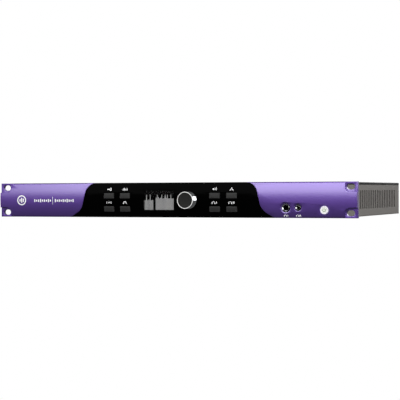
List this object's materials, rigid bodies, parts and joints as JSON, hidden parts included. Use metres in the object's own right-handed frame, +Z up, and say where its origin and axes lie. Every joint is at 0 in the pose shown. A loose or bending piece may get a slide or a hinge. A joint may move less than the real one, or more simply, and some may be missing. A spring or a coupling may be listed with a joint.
{
  "type": "audio interface",
  "caption": "Slim rack-mount audio interface with a bowed violet front, gloss black fascia, level display, push buttons, turning knob, headphone sockets and a vented steel housing.",
  "frame": {"origin": "middle of the overall footprint, at the height of the underside", "axes": "+Z up, the front faces -Y, +X to the right seen from the front"},
  "size_m": [0.4826, 0.3396, 0.0437],
  "materials": {
    "violet_anodised": "satin anodised",
    "gloss_black": "polished",
    "display_glass": "polished smoke tint",
    "button_rubber": "matte moulded",
    "bright_chrome": "polished",
    "knob_texture": "fine grain",
    "white_plastic": "polished",
    "housing_grey": "satin powder coat",
    "cover_black": "satin powder coat",
    "board_green": "solder mask",
    "chip_black": "moulded epoxy",
    "relay_cream": "moulded",
    "capacitor_sleeve": "shrink sleeve",
    "transformer_tape": "polyester tape",
    "fuse_glass": "clear",
    "bare_aluminium": "extruded",
    "ribbon_grey": "vinyl",
    "connector_black": "moulded nylon",
    "nickel_plate": "nickel plated",
    "plain_steel": "zinc plated",
    "black_screw": "black oxide",
    "contact_brass": "plated"
  },
  "bodies": {
    "housing": {"front_panel": "violet_anodised", "display_fascia": "gloss_black", "display_window": "display_glass", "display_module": "chip_black", "tactile_switches": "connector_black", "control_board": "board_green", "encoder_body": "nickel_plate", "power_switch": "connector_black", "phones_socket_large": "connector_black", "phones_ring_large": "bright_chrome", "phones_socket_small": "connector_black", "phones_ring_small": "bright_chrome", "phones_contacts": "contact_brass", "phones_board": "board_green", "bottom_chassis": "housing_grey", "top_cover": "cover_black", "rear_panel": "housing_grey", "main_board": "board_green", "converter_board": "board_green", "power_supply_board": "board_green", "board_standoffs": "contact_brass", "board_screws": "plain_steel", "main_board_chips": "chip_black", "converter_chips": "chip_black", "input_relays": "relay_cream", "converter_capacitors": "capacitor_sleeve", "supply_capacitors": "capacitor_sleeve", "power_transformer": "transformer_tape", "supply_choke": "chip_black", "mains_fuse": "fuse_glass", "supply_heatsink": "bare_aluminium", "ribbon_cable": "ribbon_grey", "power_harness": "ribbon_grey", "analog_connectors": "nickel_plate", "connector_jackscrews": "nickel_plate", "digital_connectors": "nickel_plate", "clock_connectors": "nickel_plate", "clock_connector_nuts": "nickel_plate", "usb_port": "nickel_plate", "mains_inlet": "connector_black", "inlet_pins": "contact_brass", "inlet_screws": "black_screw", "front_panel_screws": "plain_steel", "cover_screws": "black_screw", "rear_panel_screws": "black_screw"},
    "input_button_body": {"input_button": "button_rubber"},
    "channel_button_body": {"channel_button": "button_rubber"},
    "phantom_power_button_body": {"phantom_power_button": "button_rubber"},
    "soft_limit_button_body": {"soft_limit_button": "button_rubber"},
    "headphone_1_button_body": {"headphone_1_button": "button_rubber"},
    "speaker_button_body": {"speaker_button": "button_rubber"},
    "headphone_2_button_body": {"headphone_2_button": "button_rubber"},
    "talkback_button_body": {"talkback_button": "button_rubber"},
    "power_button_body": {"power_button": "white_plastic"},
    "rotor": {"encoder_rotor": "connector_black"},
    "knob": {"control_knob": "bright_chrome", "knob_face": "knob_texture", "encoder_shaft": "plain_steel"}
  },
  "joints": [
    {"name": "input_button_press", "type": "slide", "parent": "housing", "child": "input_button_body", "axis": [0, 1, 0], "range_m": [0, 0.0006], "stiffness_N_per_m": 1500, "springref_m": -0.0005},
    {"name": "channel_button_press", "type": "slide", "parent": "housing", "child": "channel_button_body", "axis": [0, 1, 0], "range_m": [0, 0.0006], "stiffness_N_per_m": 1500, "springref_m": -0.0005},
    {"name": "phantom_power_button_press", "type": "slide", "parent": "housing", "child": "phantom_power_button_body", "axis": [0, 1, 0], "range_m": [0, 0.0006], "stiffness_N_per_m": 1500, "springref_m": -0.0005},
    {"name": "soft_limit_button_press", "type": "slide", "parent": "housing", "child": "soft_limit_button_body", "axis": [0, 1, 0], "range_m": [0, 0.0006], "stiffness_N_per_m": 1500, "springref_m": -0.0005},
    {"name": "headphone_1_button_press", "type": "slide", "parent": "housing", "child": "headphone_1_button_body", "axis": [0, 1, 0], "range_m": [0, 0.0006], "stiffness_N_per_m": 1500, "springref_m": -0.0005},
    {"name": "speaker_button_press", "type": "slide", "parent": "housing", "child": "speaker_button_body", "axis": [0, 1, 0], "range_m": [0, 0.0006], "stiffness_N_per_m": 1500, "springref_m": -0.0005},
    {"name": "headphone_2_button_press", "type": "slide", "parent": "housing", "child": "headphone_2_button_body", "axis": [0, 1, 0], "range_m": [0, 0.0006], "stiffness_N_per_m": 1500, "springref_m": -0.0005},
    {"name": "talkback_button_press", "type": "slide", "parent": "housing", "child": "talkback_button_body", "axis": [0, 1, 0], "range_m": [0, 0.0006], "stiffness_N_per_m": 1500, "springref_m": -0.0005},
    {"name": "power_button_press", "type": "slide", "parent": "housing", "child": "power_button_body", "axis": [0, 1, 0], "range_m": [0, 0.001], "stiffness_N_per_m": 1200, "springref_m": -0.0006},
    {"name": "knob_turn", "type": "hinge", "parent": "housing", "child": "rotor", "pos_m": [0.0275, -0.1447, 0.0216], "axis": [0, -1, 0], "continuous": true},
    {"name": "knob_press", "type": "slide", "parent": "rotor", "child": "knob", "axis": [0, 1, 0], "range_m": [0, 0.0005], "stiffness_N_per_m": 4000, "springref_m": -0.0006}
  ]
}
